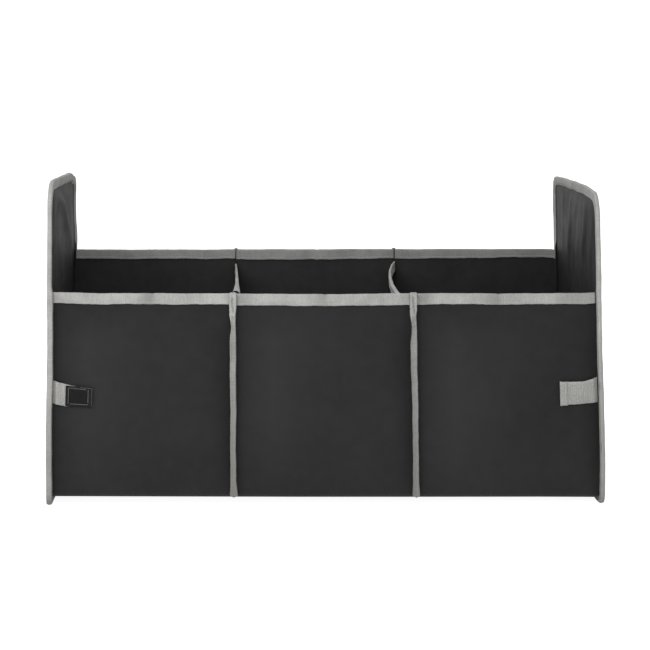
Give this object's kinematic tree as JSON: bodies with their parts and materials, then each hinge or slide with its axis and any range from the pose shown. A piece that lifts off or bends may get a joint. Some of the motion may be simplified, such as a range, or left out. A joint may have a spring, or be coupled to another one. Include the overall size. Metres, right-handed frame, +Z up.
{
  "type": "car trunk organizer",
  "caption": "Collapsible cloth organizer for a car trunk: open bays between two tall stiff ends, cloth dividers, grey taped edges and closure tabs.",
  "frame": {"origin": "on the ground under the middle of the organizer, at the bottom centre of its bounding box", "axes": "+X along the long side to the right end, +Y from the low front wall to the back wall, +Z up"},
  "size_m": [0.588, 0.3092, 0.3366],
  "materials": {
    "outer_cloth": "black woven polyester",
    "lining_cloth": "black woven polyester lining",
    "binding_tape": "light grey grosgrain binding tape",
    "webbing": "light grey woven webbing",
    "hook_patch": "black hook and loop patch",
    "stiffener_board": "grey-brown fibre board",
    "base_board": "black cloth laminated on board"
  },
  "bodies": {
    "root": {"left_end_outer_cloth": "outer_cloth", "left_end_board": "stiffener_board", "left_end_inner_cloth": "lining_cloth", "left_end_edge_tape": "binding_tape", "right_end_outer_cloth": "outer_cloth", "right_end_board": "stiffener_board", "right_end_inner_cloth": "lining_cloth", "right_end_edge_tape": "binding_tape", "left_bay_cloth": "outer_cloth", "left_bay_lining": "lining_cloth", "left_bay_front_stiffener_a": "stiffener_board", "left_bay_front_stiffener_b": "stiffener_board", "left_bay_back_stiffener_a": "stiffener_board", "left_bay_back_stiffener_b": "stiffener_board", "left_bay_base_board": "base_board", "left_bay_front_rim_tape": "binding_tape", "left_bay_back_rim_tape": "binding_tape", "centre_bay_cloth": "outer_cloth", "centre_bay_lining": "lining_cloth", "centre_bay_front_stiffener_a": "stiffener_board", "centre_bay_front_stiffener_b": "stiffener_board", "centre_bay_back_stiffener_a": "stiffener_board", "centre_bay_back_stiffener_b": "stiffener_board", "centre_bay_base_board": "base_board", "centre_bay_front_rim_tape": "binding_tape", "centre_bay_back_rim_tape": "binding_tape", "right_bay_cloth": "outer_cloth", "right_bay_lining": "lining_cloth", "right_bay_front_stiffener_a": "stiffener_board", "right_bay_front_stiffener_b": "stiffener_board", "right_bay_back_stiffener_a": "stiffener_board", "right_bay_back_stiffener_b": "stiffener_board", "right_bay_base_board": "base_board", "right_bay_front_rim_tape": "binding_tape", "right_bay_back_rim_tape": "binding_tape", "left_divider_cloth": "lining_cloth", "left_divider_top_tape": "binding_tape", "left_divider_front_seam_tape": "binding_tape", "left_divider_back_seam_tape": "binding_tape", "right_divider_cloth": "lining_cloth", "right_divider_top_tape": "binding_tape", "right_divider_front_seam_tape": "binding_tape", "right_divider_back_seam_tape": "binding_tape", "left_tab_webbing": "webbing", "left_tab_hook_patch": "hook_patch", "right_tab_webbing": "webbing", "right_tab_loop_patch": "hook_patch"}
  },
  "joints": []
}
